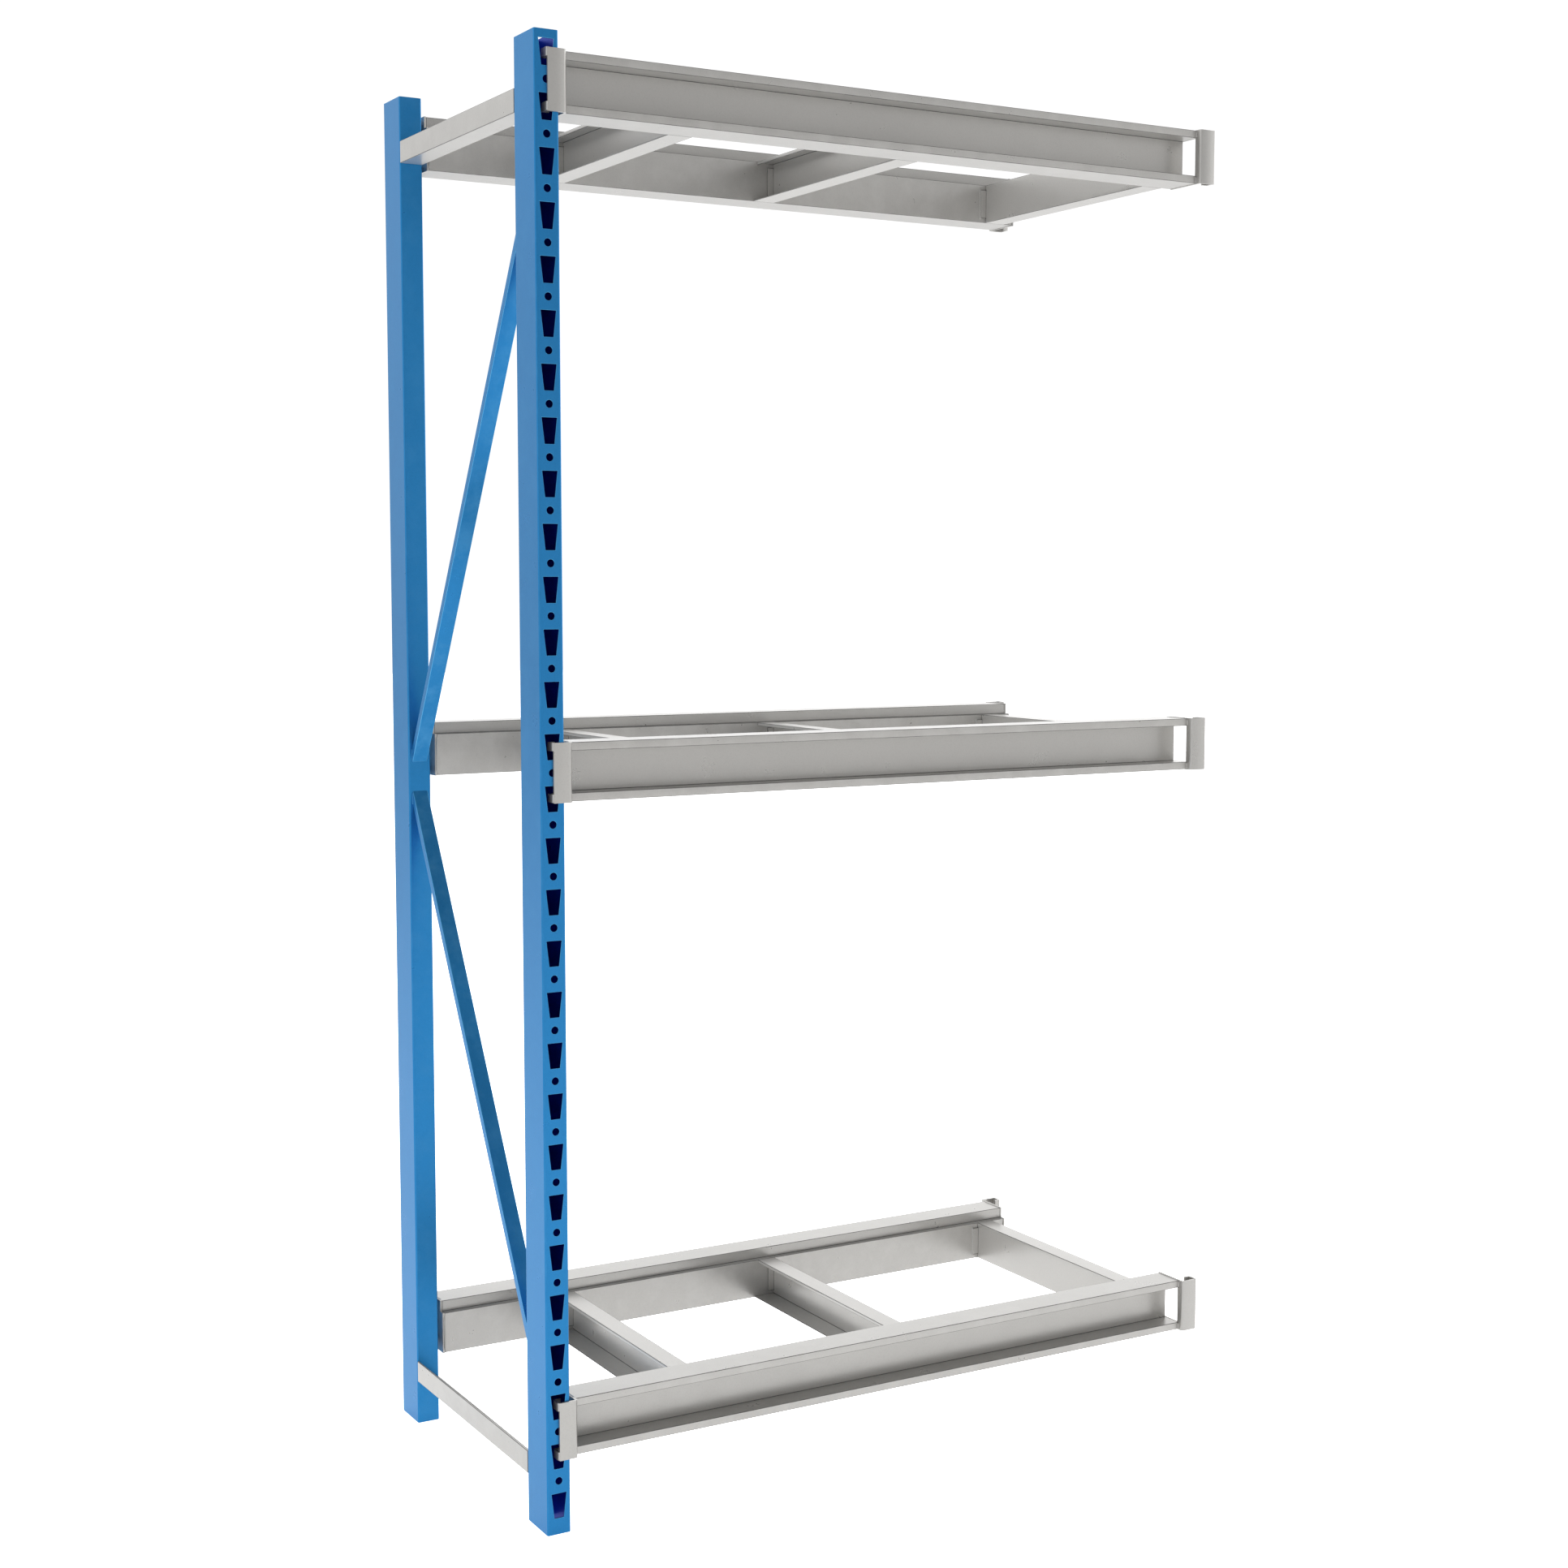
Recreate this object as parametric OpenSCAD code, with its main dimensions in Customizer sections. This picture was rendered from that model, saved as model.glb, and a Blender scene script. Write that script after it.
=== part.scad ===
// Add-on bay of boltless bulk racking: one blue upright frame and three shelf levels.
// Each level is a ladder of two step beams and three cross members.
// Hook connectors at the left end of a level sit in the slots of the frame.
// The connectors at the right end are free and hook into the frame of the next bay.
// Millimetres. +X runs along the beams, +Y towards the back, +Z up. Floor at Z = 0.
// Origin: centre of the overall footprint, on the floor.

/* [Frame] */
// Height of the posts
frame_h = 2209.8; // [2133.6:76.2:2971.8]
// Depth of the frame, front face to back face of the posts
frame_d = 609.6; // [457.2:76.2:609.6]
// Width of a post, along the beams
post_w = 38.1; // [36:0.1:40]
// Depth of a post, front to back
post_d = 73.2; // [60:0.1:76]
// Wall of the post tube
post_wall = 2; // [1.6:0.1:2.1]
// Outside corner radius of the post tube
post_r = 3; // [3:0.5:6]

/* [Slots] */
// Height step from one slot to the next
slot_pitch = 76.2; // [76.2:0.1:80]
// Height of a slot
slot_h = 38.1; // [36:0.1:40]
// Width of a slot at its top edge
slot_w_top = 24.4; // [23.6:0.1:26]
// Width of a slot at its bottom edge
slot_w_bottom = 15.4; // [13:0.1:17]
// Distance from the top of the post to the first slot
slot_from_top = 12.84; // [10:0.01:20]
// Diameter of the round hole under each slot
hole_d = 11.5; // [8:0.5:12]
// Distance from the bottom edge of a slot down to the centre of its hole
hole_drop = 18.8; // [16:0.1:20]

/* [Levels] */
// Distance from post centre to post centre of the next frame
bay_pitch = 1226.5; // [930:0.1:1700]
// Slot that takes the upper hooks of the top level, counted down from the top
top_slot = 0; // [0:1:3]
// Slot that takes the upper hooks of the middle level
middle_slot = 13; // [8:1:18]
// Slots left free under the lower hooks of the bottom level
bottom_free_slots = 1; // [0:1:3]

/* [Step beam] */
// Height of the beam
beam_h = 87.5; // [85:0.5:95]
// Height of the ledge that carries the deck
ledge_h = 69; // [60:0.5:72]
// Height of the front lips above and below the recess
lip_h = 12.6; // [8:0.1:16]
// Depth of the recess in the outer face
recess_d = 35.5; // [20:0.5:38]
// Width of the ledge that carries the deck
ledge_w = 11; // [9:0.5:16]
// Wall of the beam tube
beam_wall = 2; // [1.2:0.1:3]

/* [Connectors] */
// Thickness of the connector plate
plate_t = 3.5; // [2.5:0.1:4]
// Height of the connector plate
plate_h = 88.9; // [86:0.1:92]
// Gap between a post and the plate in front of it
plate_gap = 0.3; // [0.3:0.1:1]
// Height of one hook
hook_h = 12.5; // [10:0.5:13]

/* [Cross members] */
// Width of the bottom flange
cross_w = 41.3; // [36:0.1:46]
// Height of the cross member
cross_h = 69; // [60:0.5:69]
// Sheet thickness of the cross member
cross_t = 2; // [1.2:0.1:2.5]

/* [Braces] */
// Width of the diagonal tube, along the beams
diag_w = 25.4; // [20:0.1:28]
// Thickness of the diagonal tube
diag_t = 12.7; // [10:0.1:16]
// Slope of the diagonals above the floor plane
diag_angle = 60; // [50:1:60]
// Leg height of the angle braces
angle_h = 35; // [28:0.5:40]

/* [Hidden] */
$fn = 48;
eps = 0.01;
cut = 1;

n_slots = floor((frame_h - slot_from_top - slot_h - 20) / slot_pitch) + 1;
bottom_slot = n_slots - 2 - bottom_free_slots;
first_slot_z = frame_h - slot_from_top;
// underside of a level below the top edge of its upper slot
level_drop = 101;

// beams: distance of the outer face behind the post face, and the end gap
beam_set_back = 6.5;
post_gap = 8.4;
beam_x0 = post_w + post_gap + plate_t;
beam_l = bay_pitch - post_w - 2 * (post_gap + plate_t);
beam_x1 = beam_x0 + beam_l;
beam_mid_x = beam_x0 + beam_l / 2;
beam_in_y = post_d - 0.2;
bay_mid_y = frame_d / 2;

// connector plate
plate_x0 = 19.5;
plate_front_y = -plate_gap - plate_t;
plate_below = 0.7;
bend_in = 1.5;
window_y0 = 9.2;
window_y1 = beam_set_back + recess_d + 4.5;
hook_x0 = 17;
hook_bend = 1;
hook_back_y = 13;
hook_tip_x = 29.5;
upper_hook_z = 76;
lower_hook_z = 0.2;

// overall length, from the post to the outermost free hook
overall_l = 2 * beam_mid_x - hook_x0;

// cross members: outer web face, measured from the left post face
cross_1_x = 291.5;
cross_2_x = 698;
cross_3_x = beam_x1 - 60.6;
cross_top_w = 34;
cross_lip = 6;
cross_tab_w = 12;
cross_tab_z0 = 8;
cross_tab_h = 52;

// diagonals and angle braces
diag_wall = 1.5;
diag_end_gap = 47.6;
angle_t = 3;
top_angle_drop = 106.3;
bottom_angle_z = 73;

blue = [0.19, 0.50, 0.80];
grey = [0.74, 0.73, 0.71];

function slot_top_z(k) = first_slot_z - k * slot_pitch;
function level_z(k) = slot_top_z(k) - level_drop;

// ---- placing ----

// moves geometry measured from the front left post corner to the origin
module to_origin() {
    translate([-overall_l / 2, -bay_mid_y, 0]) children();
}

// copies of the front left geometry at the other three corners of a level
module at_rear() {
    translate([0, frame_d, 0]) mirror([0, 1, 0]) children();
}

module at_right() {
    translate([2 * beam_mid_x, 0, 0]) mirror([1, 0, 0]) children();
}

// ---- posts ----

module rounded_rect(w, d, r) {
    translate([r, 0]) square([w - 2 * r, d]);
    translate([0, r]) square([w, d - 2 * r]);
    for (x = [r, w - r], y = [r, d - r]) translate([x, y]) circle(r);
}

module post_tube() {
    linear_extrude(frame_h) difference() {
        rounded_rect(post_w, post_d, post_r);
        translate([post_wall, post_wall])
            rounded_rect(post_w - 2 * post_wall, post_d - 2 * post_wall, post_r - post_wall);
    }
}

// tapered slot, widest at the top, through the front wall
module slot_cut(k) {
    half_top = slot_w_top / 2;
    half_bottom = slot_w_bottom / 2;
    translate([post_w / 2, post_wall + cut, slot_top_z(k)]) rotate([90, 0, 0])
        linear_extrude(post_wall + 2 * cut)
            polygon([[-half_top, 0], [-half_bottom, -slot_h], [half_bottom, -slot_h], [half_top, 0]]);
}

module hole_cut(k) {
    translate([post_w / 2, post_wall + cut, slot_top_z(k) - slot_h - hole_drop]) rotate([90, 0, 0])
        cylinder(h = post_wall + 2 * cut, d = hole_d);
}

module post() {
    difference() {
        post_tube();
        for (k = [0 : n_slots - 1]) slot_cut(k);
        for (k = [0 : n_slots - 2]) hole_cut(k);
    }
}

module front_post() {
    color(blue) to_origin() post();
}

module rear_post() {
    color(blue) to_origin() at_rear() post();
}

// ---- frame braces ----

// rectangular tube between the posts, with both ends cut upright
module diagonal_tube(rear_z, rise_sign) {
    run = frame_d - 2 * post_d;
    rise = run * tan(diag_angle);
    band = diag_t / cos(diag_angle);
    inner_band = (diag_t - 2 * diag_wall) / cos(diag_angle);
    skin = diag_wall / cos(diag_angle);
    x0 = (post_w - diag_w) / 2;
    front_z = rear_z + rise_sign * rise;
    translate([x0 + diag_w, post_d, 0]) rotate([0, -90, 0]) difference() {
        linear_extrude(diag_w)
            polygon([[front_z, 0], [front_z + band, 0], [rear_z + band, run], [rear_z, run]]);
        translate([0, 0, diag_wall]) linear_extrude(diag_w - 2 * diag_wall)
            polygon([[front_z + skin + rise_sign * cut * tan(diag_angle), -cut],
                     [front_z + skin + inner_band + rise_sign * cut * tan(diag_angle), -cut],
                     [rear_z + skin + inner_band - rise_sign * cut * tan(diag_angle), run + cut],
                     [rear_z + skin - rise_sign * cut * tan(diag_angle), run + cut]]);
    }
}

module upper_diagonal() {
    color(blue) to_origin() diagonal_tube(frame_h / 2 + diag_end_gap / 2, 1);
}

module lower_diagonal() {
    color(blue) to_origin()
        diagonal_tube(frame_h / 2 - diag_end_gap / 2 - diag_t / cos(diag_angle), -1);
}

// angle bar: flat leg at the bottom, upright leg flush with the left faces of the posts
module angle_brace(z0) {
    translate([0, post_d, z0]) {
        cube([post_w, frame_d - 2 * post_d, angle_t]);
        cube([angle_t, frame_d - 2 * post_d, angle_h]);
    }
}

module top_brace() {
    color(grey) to_origin() angle_brace(frame_h - top_angle_drop);
}

module bottom_brace() {
    color(grey) to_origin() angle_brace(bottom_angle_z);
}

// ---- step beam ----

// section in Y and Z: recess in the outer face, ledge for the deck at the inner top edge
module beam_section(inset) {
    y0 = beam_set_back + inset;
    web_y = beam_set_back + recess_d + inset;
    y1 = beam_in_y - inset;
    step_y = beam_in_y - ledge_w - inset;
    polygon([[y0, inset], [y1, inset], [y1, ledge_h - inset], [step_y, ledge_h - inset],
             [step_y, beam_h - inset], [y0, beam_h - inset], [y0, beam_h - lip_h + inset],
             [web_y, beam_h - lip_h + inset], [web_y, lip_h - inset], [y0, lip_h - inset]]);
}

module step_beam(z0) {
    translate([beam_x0, 0, z0]) rotate([90, 0, 90]) linear_extrude(beam_l) difference() {
        beam_section(0);
        beam_section(beam_wall);
    }
}

// ---- connectors ----

// quarter ring in plan, from the -Y side round to the given X side
module quarter_ring(r_in, t) {
    intersection() {
        difference() {
            circle(r_in + t);
            circle(r_in);
        }
        translate([0, -r_in - t]) square(r_in + t);
    }
}

// front plate with its bend, in plan
module front_plate_plan() {
    r_out = bend_in + plate_t;
    translate([plate_x0, plate_front_y]) square([beam_x0 - r_out - plate_x0, plate_t]);
    translate([beam_x0 - r_out, plate_front_y + r_out]) quarter_ring(bend_in, plate_t);
}

// hook in plan: out past the plate edge, back through the slot, then behind the post wall
module hook_plan() {
    r_out = hook_bend + plate_t;
    bend_x = hook_x0 + r_out;
    bend_y = plate_front_y + r_out;
    translate([bend_x, bend_y]) mirror([1, 0]) quarter_ring(hook_bend, plate_t);
    translate([hook_x0, bend_y - eps]) square([plate_t, hook_back_y - bend_y + 2 * eps]);
    translate([bend_x, hook_back_y]) mirror([1, 0]) mirror([0, 1]) quarter_ring(hook_bend, plate_t);
    translate([bend_x - eps, hook_back_y + hook_bend]) square([hook_tip_x - bend_x + eps, plate_t]);
}

// end plate outline follows the beam section and has a window at the recess
module end_plate_profile() {
    y0 = plate_front_y + bend_in + plate_t;
    top = plate_h - plate_below;
    step_y = beam_in_y - ledge_w;
    difference() {
        polygon([[y0, -plate_below], [beam_in_y, -plate_below], [beam_in_y, ledge_h],
                 [step_y, ledge_h], [step_y, top], [y0, top]]);
        translate([window_y0, lip_h])
            square([window_y1 - window_y0, beam_h - 2 * lip_h]);
    }
}

module connector(z0) {
    translate([0, 0, z0]) {
        translate([0, 0, -plate_below]) linear_extrude(plate_h) front_plate_plan();
        translate([beam_x0 - plate_t, 0, 0]) rotate([90, 0, 90])
            linear_extrude(plate_t) end_plate_profile();
        for (z = [lower_hook_z, upper_hook_z])
            translate([0, 0, z]) linear_extrude(hook_h) hook_plan();
    }
}

// ---- cross members ----

// channel open to the left, web on the right with its outer face at X = 0
module cross_section() {
    translate([-cross_w, 0]) square([cross_w, cross_t]);
    translate([-cross_t, 0]) square([cross_t, cross_h]);
    translate([-cross_top_w, cross_h - cross_t]) square([cross_top_w, cross_t]);
    translate([-cross_top_w, cross_h - cross_lip]) square([cross_t, cross_lip]);
}

module cross_body() {
    run = frame_d - 2 * beam_in_y;
    translate([0, beam_in_y + run, 0]) rotate([90, 0, 0]) linear_extrude(run) cross_section();
}

// turned ends of the web that lie on the inner walls of the beams
module cross_tabs(x_tab) {
    for (y = [beam_in_y, frame_d - beam_in_y - cross_t])
        translate([x_tab, y, cross_tab_z0]) cube([cross_tab_w + cross_t, cross_t, cross_tab_h]);
}

module open_left_cross_member(x, z0) {
    translate([x, 0, z0]) {
        cross_body();
        cross_tabs(-cross_t - cross_tab_w);
    }
}

module open_right_cross_member(x, z0) {
    translate([x, 0, z0]) {
        mirror([1, 0, 0]) cross_body();
        cross_tabs(-cross_tab_w);
    }
}

// ---- bottom level ----

module bottom_front_beam() {
    color(grey) to_origin() step_beam(level_z(bottom_slot));
}

module bottom_rear_beam() {
    color(grey) to_origin() at_rear() step_beam(level_z(bottom_slot));
}

module bottom_front_left_connector() {
    color(grey) to_origin() connector(level_z(bottom_slot));
}

module bottom_front_right_connector() {
    color(grey) to_origin() at_right() connector(level_z(bottom_slot));
}

module bottom_rear_left_connector() {
    color(grey) to_origin() at_rear() connector(level_z(bottom_slot));
}

module bottom_rear_right_connector() {
    color(grey) to_origin() at_rear() at_right() connector(level_z(bottom_slot));
}

module bottom_left_cross_member() {
    color(grey) to_origin() open_left_cross_member(cross_1_x, level_z(bottom_slot));
}

module bottom_middle_cross_member() {
    color(grey) to_origin() open_left_cross_member(cross_2_x, level_z(bottom_slot));
}

module bottom_right_cross_member() {
    color(grey) to_origin() open_right_cross_member(cross_3_x, level_z(bottom_slot));
}

// ---- middle level ----

module middle_front_beam() {
    color(grey) to_origin() step_beam(level_z(middle_slot));
}

module middle_rear_beam() {
    color(grey) to_origin() at_rear() step_beam(level_z(middle_slot));
}

module middle_front_left_connector() {
    color(grey) to_origin() connector(level_z(middle_slot));
}

module middle_front_right_connector() {
    color(grey) to_origin() at_right() connector(level_z(middle_slot));
}

module middle_rear_left_connector() {
    color(grey) to_origin() at_rear() connector(level_z(middle_slot));
}

module middle_rear_right_connector() {
    color(grey) to_origin() at_rear() at_right() connector(level_z(middle_slot));
}

module middle_left_cross_member() {
    color(grey) to_origin() open_left_cross_member(cross_1_x, level_z(middle_slot));
}

module middle_middle_cross_member() {
    color(grey) to_origin() open_left_cross_member(cross_2_x, level_z(middle_slot));
}

module middle_right_cross_member() {
    color(grey) to_origin() open_right_cross_member(cross_3_x, level_z(middle_slot));
}

// ---- top level ----

module top_front_beam() {
    color(grey) to_origin() step_beam(level_z(top_slot));
}

module top_rear_beam() {
    color(grey) to_origin() at_rear() step_beam(level_z(top_slot));
}

module top_front_left_connector() {
    color(grey) to_origin() connector(level_z(top_slot));
}

module top_front_right_connector() {
    color(grey) to_origin() at_right() connector(level_z(top_slot));
}

module top_rear_left_connector() {
    color(grey) to_origin() at_rear() connector(level_z(top_slot));
}

module top_rear_right_connector() {
    color(grey) to_origin() at_rear() at_right() connector(level_z(top_slot));
}

module top_left_cross_member() {
    color(grey) to_origin() open_left_cross_member(cross_1_x, level_z(top_slot));
}

module top_middle_cross_member() {
    color(grey) to_origin() open_left_cross_member(cross_2_x, level_z(top_slot));
}

module top_right_cross_member() {
    color(grey) to_origin() open_right_cross_member(cross_3_x, level_z(top_slot));
}

// ---- nodes ----

front_post();
rear_post();
upper_diagonal();
lower_diagonal();
top_brace();
bottom_brace();
bottom_front_beam();
bottom_rear_beam();
bottom_front_left_connector();
bottom_front_right_connector();
bottom_rear_left_connector();
bottom_rear_right_connector();
bottom_left_cross_member();
bottom_middle_cross_member();
bottom_right_cross_member();
middle_front_beam();
middle_rear_beam();
middle_front_left_connector();
middle_front_right_connector();
middle_rear_left_connector();
middle_rear_right_connector();
middle_left_cross_member();
middle_middle_cross_member();
middle_right_cross_member();
top_front_beam();
top_rear_beam();
top_front_left_connector();
top_front_right_connector();
top_rear_left_connector();
top_rear_right_connector();
top_left_cross_member();
top_middle_cross_member();
top_right_cross_member();
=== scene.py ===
import math

import bmesh
import bpy
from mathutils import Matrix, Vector


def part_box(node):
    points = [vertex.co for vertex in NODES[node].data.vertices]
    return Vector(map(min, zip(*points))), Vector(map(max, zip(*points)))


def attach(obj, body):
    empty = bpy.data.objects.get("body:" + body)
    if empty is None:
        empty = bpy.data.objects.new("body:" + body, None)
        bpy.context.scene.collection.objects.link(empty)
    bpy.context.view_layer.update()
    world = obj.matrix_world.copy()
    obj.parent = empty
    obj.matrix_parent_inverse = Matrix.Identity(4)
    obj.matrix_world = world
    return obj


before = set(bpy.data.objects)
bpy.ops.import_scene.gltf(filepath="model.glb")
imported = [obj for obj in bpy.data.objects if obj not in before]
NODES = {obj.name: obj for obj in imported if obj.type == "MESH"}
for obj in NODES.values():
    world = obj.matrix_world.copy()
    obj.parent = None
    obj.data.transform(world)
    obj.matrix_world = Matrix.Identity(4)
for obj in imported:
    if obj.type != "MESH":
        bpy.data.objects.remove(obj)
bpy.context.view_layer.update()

MM = 0.001
LEVELS = ("bottom", "middle", "top")
# depth below a post's outer face at which its colour turns to the darker painted shade of the tube's inner
# walls
TUBE_WALL_PART = 1.4 * MM
# how far the edges of a front plate lie behind its middle
CROWN_DROP = 2.4 * MM


# ---------------------------------------------------------------- materials

def new_material(name):
    mat = bpy.data.materials.new(name)
    mat.use_nodes = True
    tree = mat.node_tree
    tree.nodes.clear()
    out = tree.nodes.new("ShaderNodeOutputMaterial")
    shader = tree.nodes.new("ShaderNodeBsdfPrincipled")
    tree.links.new(shader.outputs["BSDF"], out.inputs["Surface"])
    return mat, tree, shader


def noise(tree, coords, scale, detail=4.0, rough=0.55):
    n = tree.nodes.new("ShaderNodeTexNoise")
    n.inputs["Scale"].default_value = scale
    n.inputs["Detail"].default_value = detail
    n.inputs["Roughness"].default_value = rough
    tree.links.new(coords, n.inputs["Vector"])
    return n.outputs["Fac"]


def ramp(tree, fac, stops):
    r = tree.nodes.new("ShaderNodeValToRGB")
    els = r.color_ramp.elements
    while len(els) < len(stops):
        els.new(0.5)
    for el, (pos, col) in zip(els, stops):
        el.position = pos
        el.color = (*col, 1.0)
    tree.links.new(fac, r.inputs["Fac"])
    return r.outputs["Color"]


def map_range(tree, fac, a0, a1, b0, b1):
    m = tree.nodes.new("ShaderNodeMapRange")
    for key, value in zip(("From Min", "From Max", "To Min", "To Max"), (a0, a1, b0, b1)):
        m.inputs[key].default_value = value
    tree.links.new(fac, m.inputs["Value"])
    return m.outputs["Result"]


def mix_color(tree, fac, a, b):
    m = tree.nodes.new("ShaderNodeMix")
    m.data_type = "RGBA"
    for key, value in ((0, fac), (6, a), (7, b)):
        if isinstance(value, (tuple, list)):
            m.inputs[key].default_value = (*value, 1.0)
        elif isinstance(value, float):
            m.inputs[key].default_value = value
        else:
            tree.links.new(value, m.inputs[key])
    return m.outputs[2]


def math_node(tree, op, a, b=None):
    n = tree.nodes.new("ShaderNodeMath")
    n.operation = op
    for socket, value in zip(n.inputs, (a, b)):
        if value is None:
            continue
        if isinstance(value, (int, float)):
            socket.default_value = float(value)
        else:
            tree.links.new(value, socket)
    return n.outputs[0]


def split_xyz(tree, vector):
    n = tree.nodes.new("ShaderNodeSeparateXYZ")
    tree.links.new(vector, n.inputs[0])
    return n.outputs


def painted_tube_shade_mask(tree, coords):
    """Mask of the painted shade in the posts: 1 on the inner surfaces of the two post tubes, 0 elsewhere."""
    x, y = split_xyz(tree, coords)[:2]
    lo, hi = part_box("front_post")
    cx, cy = (lo[0] + hi[0]) / 2, abs(lo[1] + hi[1]) / 2
    half_x, half_y = (hi[0] - lo[0]) / 2 - TUBE_WALL_PART, (hi[1] - lo[1]) / 2 - TUBE_WALL_PART
    dx = math_node(tree, "ABSOLUTE", math_node(tree, "SUBTRACT", x, cx))
    dy = math_node(tree, "ABSOLUTE", math_node(tree, "SUBTRACT", math_node(tree, "ABSOLUTE", y), cy))
    within_x = math_node(tree, "LESS_THAN", dx, half_x)
    within_y = math_node(tree, "LESS_THAN", dy, half_y)
    return math_node(tree, "MULTIPLY", within_x, within_y)


def plate_crown(tree, coords):
    """Height of the slight crown pressed into the front plates, left and right."""
    x = split_xyz(tree, coords)[0]
    lo_l, hi_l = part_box("top_front_left_connector")
    lo_r, hi_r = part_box("top_front_right_connector")
    left, right = (lo_l[0] + hi_l[0]) / 2, (lo_r[0] + hi_r[0]) / 2
    half = (hi_l[0] - lo_l[0]) / 2
    is_right = math_node(tree, "GREATER_THAN", x, 0.0)
    mid = math_node(tree, "ADD", math_node(tree, "MULTIPLY", is_right, right - left), left)
    offset = math_node(tree, "DIVIDE", math_node(tree, "SUBTRACT", x, mid), half)
    t = math_node(tree, "MINIMUM", math_node(tree, "ABSOLUTE", offset), 1.0)
    return math_node(tree, "MULTIPLY", math_node(tree, "POWER", t, 2.0), -CROWN_DROP)


def powder_coat(name, base, shade, wear_and_highlight, rough=(0.27, 0.34), peel=0.035, spec=0.4, coat=0.04,
                painted_tube_shade=None, crown=False):
    """Satin metallic coat: orange peel, slow colour drift, fine speckle, and rubbed edges that double as a
    painted highlight.
    """
    mat, tree, shader = new_material(name)
    geo = tree.nodes.new("ShaderNodeTexCoord").outputs["Object"]
    drift = noise(tree, geo, 3.0, 3.0)
    patch = noise(tree, geo, 26.0, 5.0, 0.6)
    grain = noise(tree, geo, 330.0, 1.0)
    speckle = noise(tree, geo, 520.0, 2.0, 0.7)
    col = mix_color(tree, map_range(tree, drift, 0.3, 0.7, 0.0, 1.0), base, shade)
    col = mix_color(tree, map_range(tree, patch, 0.35, 0.75, 0.0, 0.35), col, shade)
    dark = tuple(0.80 * c for c in shade)
    col = mix_color(tree, map_range(tree, speckle, 0.45, 0.75, 0.0, 0.30), col, dark)
    # lighter colour along convex edges in patches, from the curvature of the surface: rubbed paint and a
    # painted highlight on the rims together
    point = tree.nodes.new("ShaderNodeNewGeometry").outputs["Pointiness"]
    edge = map_range(tree, point, 0.52, 0.60, 0.0, 1.0)
    rubbed_and_highlit = math_node(tree, "MULTIPLY", edge, map_range(tree, patch, 0.45, 0.65, 0.0, 0.5))
    col = mix_color(tree, rubbed_and_highlit, col, wear_and_highlight)
    # darker blue on the inner walls of the posts: painted shade for the dim hollow of the tube
    if painted_tube_shade:
        col = mix_color(tree, painted_tube_shade_mask(tree, geo), col, painted_tube_shade)
    tree.links.new(col, shader.inputs["Base Color"])
    tree.links.new(map_range(tree, patch, 0.3, 0.7, rough[0], rough[1]), shader.inputs["Roughness"])
    shader.inputs["Metallic"].default_value = 0.6
    shader.inputs["Specular IOR Level"].default_value = spec
    shader.inputs["Coat Weight"].default_value = coat
    shader.inputs["Coat Roughness"].default_value = 0.25
    bump = tree.nodes.new("ShaderNodeBump")
    bump.inputs["Strength"].default_value = peel
    bump.inputs["Distance"].default_value = 0.0006
    tree.links.new(grain, bump.inputs["Height"])
    if crown:
        round_off = tree.nodes.new("ShaderNodeBump")
        round_off.inputs["Strength"].default_value = 1.0
        round_off.inputs["Distance"].default_value = 1.0
        place = tree.nodes.new("ShaderNodeNewGeometry").outputs["Position"]
        tree.links.new(plate_crown(tree, place), round_off.inputs["Height"])
        tree.links.new(round_off.outputs["Normal"], bump.inputs["Normal"])
    tree.links.new(bump.outputs["Normal"], shader.inputs["Normal"])
    return mat


def scaled(colour, k):
    return tuple(k * c for c in colour)


# third colour of each set: the lighter edge colour, rubbed paint and painted highlight together
BLUE_BASE, BLUE_SHADE, BLUE_WEAR_AND_HIGHLIGHT = (0.029, 0.228, 0.527), (0.026, 0.212, 0.497), (0.10, 0.36, 0.66)
GREY_BASE, GREY_SHADE, GREY_WEAR_AND_HIGHLIGHT = (0.515, 0.505, 0.485), (0.485, 0.475, 0.457), (0.62, 0.61, 0.59)

# the posts' blue, with a darker painted shade on the inner walls of the tubes
BLUE = powder_coat("blue_powder_coat", BLUE_BASE, BLUE_SHADE, BLUE_WEAR_AND_HIGHLIGHT, spec=0.08, coat=0.0,
                   painted_tube_shade=(0.002, 0.036, 0.42))
# lighter blue for the rounded edges of the blue parts: a painted highlight along the rims of slots and
# corners
BLUE_EDGE_HIGHLIGHT = powder_coat("blue_painted_edge_highlight", (0.090, 0.40, 0.72), (0.080, 0.37, 0.68), BLUE_WEAR_AND_HIGHLIGHT,
                        coat=0.0)
BEAM_GREY = powder_coat("beam_powder_coat", GREY_BASE, GREY_SHADE, GREY_WEAR_AND_HIGHLIGHT)
CONNECTOR_GREY = powder_coat("connector_powder_coat", scaled(GREY_BASE, 1.02), GREY_SHADE, GREY_WEAR_AND_HIGHLIGHT,
                             crown=True)
CROSS_GREY = powder_coat("cross_member_powder_coat", scaled(GREY_BASE, 1.10), scaled(GREY_SHADE, 1.10),
                         GREY_WEAR_AND_HIGHLIGHT)
FRAME_GREY = powder_coat("frame_brace_powder_coat", scaled(GREY_BASE, 1.02), scaled(GREY_SHADE, 1.02),
                         GREY_WEAR_AND_HIGHLIGHT)
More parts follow.
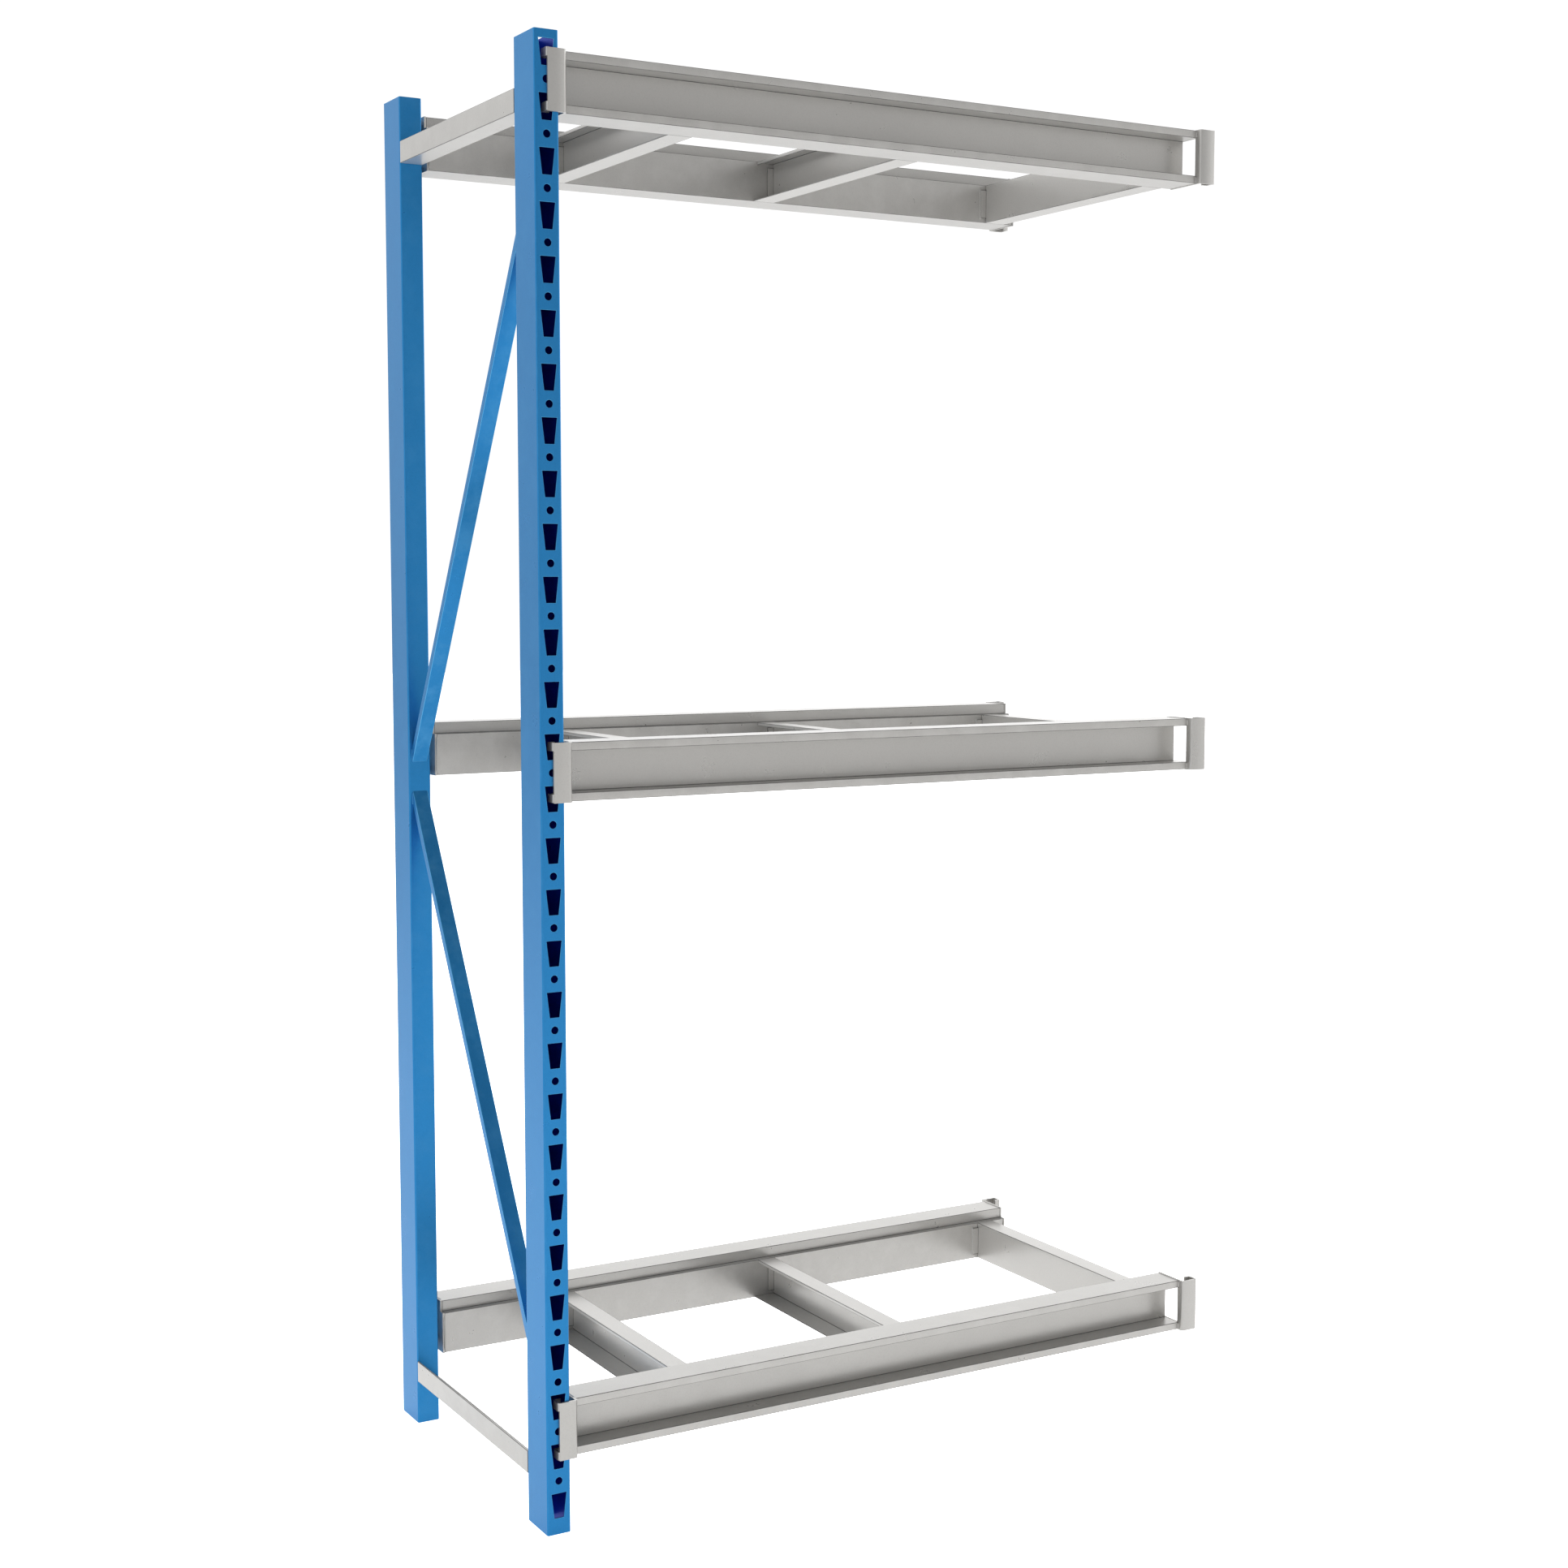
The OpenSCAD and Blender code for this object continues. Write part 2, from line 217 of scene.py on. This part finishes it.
# much darker grey for the rounded edges of the grey parts: painted shade lines along the edges
GREY_EDGE_SHADE = powder_coat("grey_painted_edge_shade", scaled(GREY_BASE, 0.42), scaled(GREY_SHADE, 0.36),
                        scaled(GREY_WEAR_AND_HIGHLIGHT, 0.8), rough=(0.4, 0.5))
GREY_WELD = powder_coat("grey_weld_coat", scaled(GREY_BASE, 0.95), scaled(GREY_SHADE, 0.80), GREY_WEAR_AND_HIGHLIGHT,
                        peel=0.25)
BLUE_WELD = powder_coat("blue_weld_coat", scaled(BLUE_BASE, 0.95), scaled(BLUE_SHADE, 0.80), BLUE_WEAR_AND_HIGHLIGHT,
                        peel=0.25)


def material_for(node):
    if node in ("front_post", "rear_post", "upper_diagonal", "lower_diagonal"):
        return BLUE
    if node in ("top_brace", "bottom_brace"):
        return FRAME_GREY
    if node.endswith("_connector"):
        return CONNECTOR_GREY
    if node.endswith("_cross_member"):
        return CROSS_GREY
    return BEAM_GREY


# ---------------------------------------------------------------- carried-over pieces

def finish_node(name, obj):
    """Rounds the pressed and cut edges and gives the piece its paint, with a painted highlight on the rounded
    edges of blue parts and painted shade on those of grey parts.
    """
    width = 0.4 * MM if name.endswith("_post") else 0.9 * MM
    weld = obj.modifiers.new("weld", "WELD")
    weld.merge_threshold = 0.02 * MM
    bevel = obj.modifiers.new("soft_edges", "BEVEL")
    bevel.width = width
    bevel.segments = 2
    bevel.limit_method = "ANGLE"
    bevel.angle_limit = math.radians(40)
    bevel.harden_normals = False
    bevel.material = 1
    normals = obj.modifiers.new("flat_faces", "WEIGHTED_NORMAL")
    normals.keep_sharp = False
    for poly in obj.data.polygons:
        poly.use_smooth = True
    mat = material_for(name)
    for slot in obj.material_slots:
        slot.material = mat
    if not obj.material_slots:
        obj.data.materials.append(mat)
    # the bevel faces take this second material: painted highlight on blue parts, painted shade on grey parts
    obj.data.materials.append(BLUE_EDGE_HIGHLIGHT if mat is BLUE else GREY_EDGE_SHADE)


for node_name, node_obj in NODES.items():
    finish_node(node_name, node_obj)


# ---------------------------------------------------------------- weld beads

def bead(bm, start, end, radius=1.6 * MM):
    """A closed rippled bead from start to end, half sunk in the joint it follows."""
    start, end = Vector(start), Vector(end)
    along = (end - start).normalized()
    side = along.orthogonal().normalized()
    up = along.cross(side)
    count = max(6, round((end - start).length / (1.1 * MM)))
    sides = 8
    rings = []
    for i in range(count + 1):
        t = i / count
        taper = min(1.0, 0.45 + 6.0 * min(t, 1.0 - t))
        r = radius * taper * (1.0 + 0.13 * math.sin(i * math.pi / 1.5))
        middle = start.lerp(end, t)
        rings.append([bm.verts.new(middle + r * (math.cos(a) * side + math.sin(a) * up))
                      for a in (2.0 * math.pi * k / sides for k in range(sides))])
    for a, b in zip(rings, rings[1:]):
        for k in range(sides):
            bm.faces.new((a[k], a[(k + 1) % sides], b[(k + 1) % sides], b[k]))
    bm.faces.new(list(reversed(rings[0])))
    bm.faces.new(rings[-1])


def weld_piece(name, body, mat, runs):
    mesh = bpy.data.meshes.new(name)
    bm = bmesh.new()
    for run in runs:
        bead(bm, *run)
    bmesh.ops.recalc_face_normals(bm, faces=bm.faces)
    bm.to_mesh(mesh)
    bm.free()
    for poly in mesh.polygons:
        poly.use_smooth = True
    mesh.materials.append(mat)
    obj = bpy.data.objects.new(name, mesh)
    bpy.context.scene.collection.objects.link(obj)
    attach(obj, body)


def level_runs(level):
    """Seams between beams and connectors, and between beams and cross members."""
    lo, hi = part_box(f"{level}_front_beam")
    z0, top = lo[2], hi[2]
    runs = []
    for depth in (1, -1):
        outer, inner = depth * lo[1], depth * hi[1]
        for x, way in ((lo[0], 1), (hi[0], -1)):
            # across the top, up the two lips, and up the inner wall
            seam = x + 0.3 * MM * way
            runs.append(((seam, outer + depth * 4 * MM, top), (seam, inner - depth * 15 * MM, top), 1.5 * MM))
            for a, b in ((1.0, 11.6), (76.0, 86.5)):
                runs.append(((x, outer, z0 + a * MM), (x, outer, z0 + b * MM), 1.8 * MM))
            runs.append(((x, inner, z0 + 4 * MM), (x, inner, z0 + 64 * MM), 1.5 * MM))
        for place in ("left", "middle", "right"):
            c_lo, c_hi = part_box(f"{level}_{place}_cross_member")
            web = c_lo[0] if place == "right" else c_hi[0]
            runs.append(((web, inner, z0 + 6 * MM), (web, inner, z0 + 64 * MM), 1.7 * MM))
    return runs


def frame_runs():
    lo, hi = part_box("front_post")
    runs = []
    for name in ("upper_diagonal", "lower_diagonal"):
        d_lo, d_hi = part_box(name)
        upper = name == "upper_diagonal"
        front_z = d_hi[2] if upper else d_lo[2]
        rear_z = d_lo[2] if upper else d_hi[2]
        step = 25.4 * MM * (-1 if upper else 1)
        for x in (d_lo[0], d_hi[0]):
            runs.append(((x, d_lo[1], front_z + 0.1 * step), (x, d_lo[1], front_z + 0.9 * step), 1.6 * MM))
            runs.append(((x, d_hi[1], rear_z - 0.1 * step), (x, d_hi[1], rear_z - 0.9 * step), 1.6 * MM))
    for name in ("top_brace", "bottom_brace"):
        b_lo, b_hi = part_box(name)
        for y in (b_lo[1], b_hi[1]):
            x, z = b_lo[0] + 3.4 * MM, b_lo[2] + 3.2 * MM
            runs.append(((x, y, b_lo[2] + 5 * MM), (x, y, b_hi[2] - 2 * MM), 1.6 * MM))
            runs.append(((b_lo[0] + 5 * MM, y, z), (b_hi[0] - 3 * MM, y, z), 1.4 * MM))
    return runs


for level in LEVELS:
    weld_piece(f"{level}_level_welds", f"{level}_level", GREY_WELD, level_runs(level))
weld_piece("upright_frame_welds", "upright_frame", BLUE_WELD, frame_runs())


# ---------------------------------------------------------------- stage, light, camera

# half the side of the floor, and how far it lies under the feet, in metres
FLOOR_HALF, FLOOR_DROP = 30.0, 0.5 * MM
# the lit floor: radius in metres over which its glow fades, and the glow at its middle
GLOW_REACH, GLOW_STRENGTH = 9.0, 0.66
# extra emission of the floor towards the camera alone
FLOOR_WHITENING = 0.80
# strength of the backdrop as the camera sees it
SEEN = 1.05
# strength of each lobe of the studio's light
SKY = {"zenith": 1.05, "middle": 0.61, "horizon": 0.30, "left": 0.95, "right": 1.65, "front": 0.50,
       "back": 1.40}


def floor():
    mesh = bpy.data.meshes.new("floor")
    corners = [(-FLOOR_HALF, -FLOOR_HALF, 0), (FLOOR_HALF, -FLOOR_HALF, 0),
               (FLOOR_HALF, FLOOR_HALF, 0), (-FLOOR_HALF, FLOOR_HALF, 0)]
    mesh.from_pydata(corners, [], [(0, 1, 2, 3)])
    obj = bpy.data.objects.new("floor", mesh)
    bpy.context.scene.collection.objects.link(obj)
    obj.location.z = -FLOOR_DROP
    mat, tree, shader = new_material("studio_floor")
    geo = tree.nodes.new("ShaderNodeTexCoord").outputs["Object"]
    tone = ramp(tree, noise(tree, geo, 1.2, 2.0), [(0.3, (0.86, 0.86, 0.86)), (0.7, (0.90, 0.90, 0.90))])
    tree.links.new(tone, shader.inputs["Base Color"])
    shader.inputs["Roughness"].default_value = 0.9
    shader.inputs["Specular IOR Level"].default_value = 0.1
    shader.inputs["Emission Color"].default_value = (1.0, 1.0, 1.0, 1.0)
    radius = tree.nodes.new("ShaderNodeVectorMath")
    radius.operation = "LENGTH"
    tree.links.new(geo, radius.inputs[0])
    square = math_node(tree, "POWER", radius.outputs["Value"], 2.0)
    spot = math_node(tree, "EXPONENT", math_node(tree, "MULTIPLY", square, -1.0 / GLOW_REACH ** 2))
    glow = math_node(tree, "MULTIPLY", spot, GLOW_STRENGTH)
    # the floor itself reads as white paper without throwing more light on the object
    seen = tree.nodes.new("ShaderNodeLightPath").outputs["Is Camera Ray"]
    glow = math_node(tree, "ADD", math_node(tree, "MULTIPLY", seen, FLOOR_WHITENING), glow)
    tree.links.new(glow, shader.inputs["Emission Strength"])
    mesh.materials.append(mat)


floor()


def weighted(tree, *terms):
    """Sum of the weighted components of a direction, no lower than 0."""
    total = 0.0
    for component, weight in terms:
        total = math_node(tree, "ADD", math_node(tree, "MULTIPLY", component, weight), total)
    return math_node(tree, "MAXIMUM", total, 0.0)


def studio_world():
    """A soft studio round the object: lobes of light from above and from the four sides."""
    world = bpy.data.worlds.new("studio")
    bpy.context.scene.world = world
    world.use_nodes = True
    tree = world.node_tree
    tree.nodes.clear()
    out = tree.nodes.new("ShaderNodeOutputWorld")
    xyz = tree.nodes.new("ShaderNodeSeparateXYZ")
    tree.links.new(tree.nodes.new("ShaderNodeTexCoord").outputs["Generated"], xyz.inputs[0])
    x, y, z = xyz.outputs
    up = math_node(tree, "MAXIMUM", z, 0.0)
    low = math_node(tree, "SUBTRACT", 1.0, up)
    # overhead light comes from above and behind, and the back light from behind on the right
    overhead = weighted(tree, (z, 0.80), (y, 0.60))
    back_right = weighted(tree, (x, 0.50), (y, 0.86))
    behind = math_node(tree, "MAXIMUM", math_node(tree, "ADD", math_node(tree, "MULTIPLY", y, 2.6), 2.2), 0.0)
    near_horizon = math_node(tree, "POWER", low, 4.0)
    lobes = {
        "zenith": math_node(tree, "POWER", overhead, 4.0),
        "middle": math_node(tree, "MULTIPLY", math_node(tree, "MULTIPLY", up, low), behind),
        "horizon": near_horizon,
        "left": math_node(tree, "POWER", weighted(tree, (x, -1.0)), 3.0),
        "right": math_node(tree, "POWER", weighted(tree, (x, 1.0)), 3.0),
        "front": math_node(tree, "POWER", weighted(tree, (y, -1.0)), 3.0),
        "back": math_node(tree, "MULTIPLY", math_node(tree, "POWER", back_right, 3.0), near_horizon),
    }
    total = 0.0
    for name, lobe in lobes.items():
        total = math_node(tree, "ADD", math_node(tree, "MULTIPLY", lobe, SKY[name]), total)
    lit = tree.nodes.new("ShaderNodeBackground")
    tree.links.new(total, lit.inputs["Strength"])
    seen = tree.nodes.new("ShaderNodeBackground")
    seen.inputs["Strength"].default_value = SEEN
    for node in (lit, seen):
        node.inputs["Color"].default_value = (1.0, 1.0, 1.0, 1.0)
    mix = tree.nodes.new("ShaderNodeMixShader")
    tree.links.new(tree.nodes.new("ShaderNodeLightPath").outputs["Is Camera Ray"], mix.inputs["Fac"])
    tree.links.new(lit.outputs["Background"], mix.inputs[1])
    tree.links.new(seen.outputs["Background"], mix.inputs[2])
    tree.links.new(mix.outputs["Shader"], out.inputs["Surface"])


studio_world()

cam_data = bpy.data.cameras.new("camera")
cam_data.sensor_width = 36.0
cam_data.lens = 52.54
cam_data.clip_start = 0.05
cam_data.clip_end = 200.0
cam = bpy.data.objects.new("camera", cam_data)
bpy.context.scene.collection.objects.link(cam)
cam.location = (-1.9763, -3.3579, 1.4302)
cam.rotation_euler = (math.radians(84.905), 0.0, math.radians(-29.985))
bpy.context.scene.camera = cam

view = bpy.context.scene.view_settings
view.view_transform = "Standard"
view.look = "None"
view.exposure = 0.0
view.gamma = 1.0
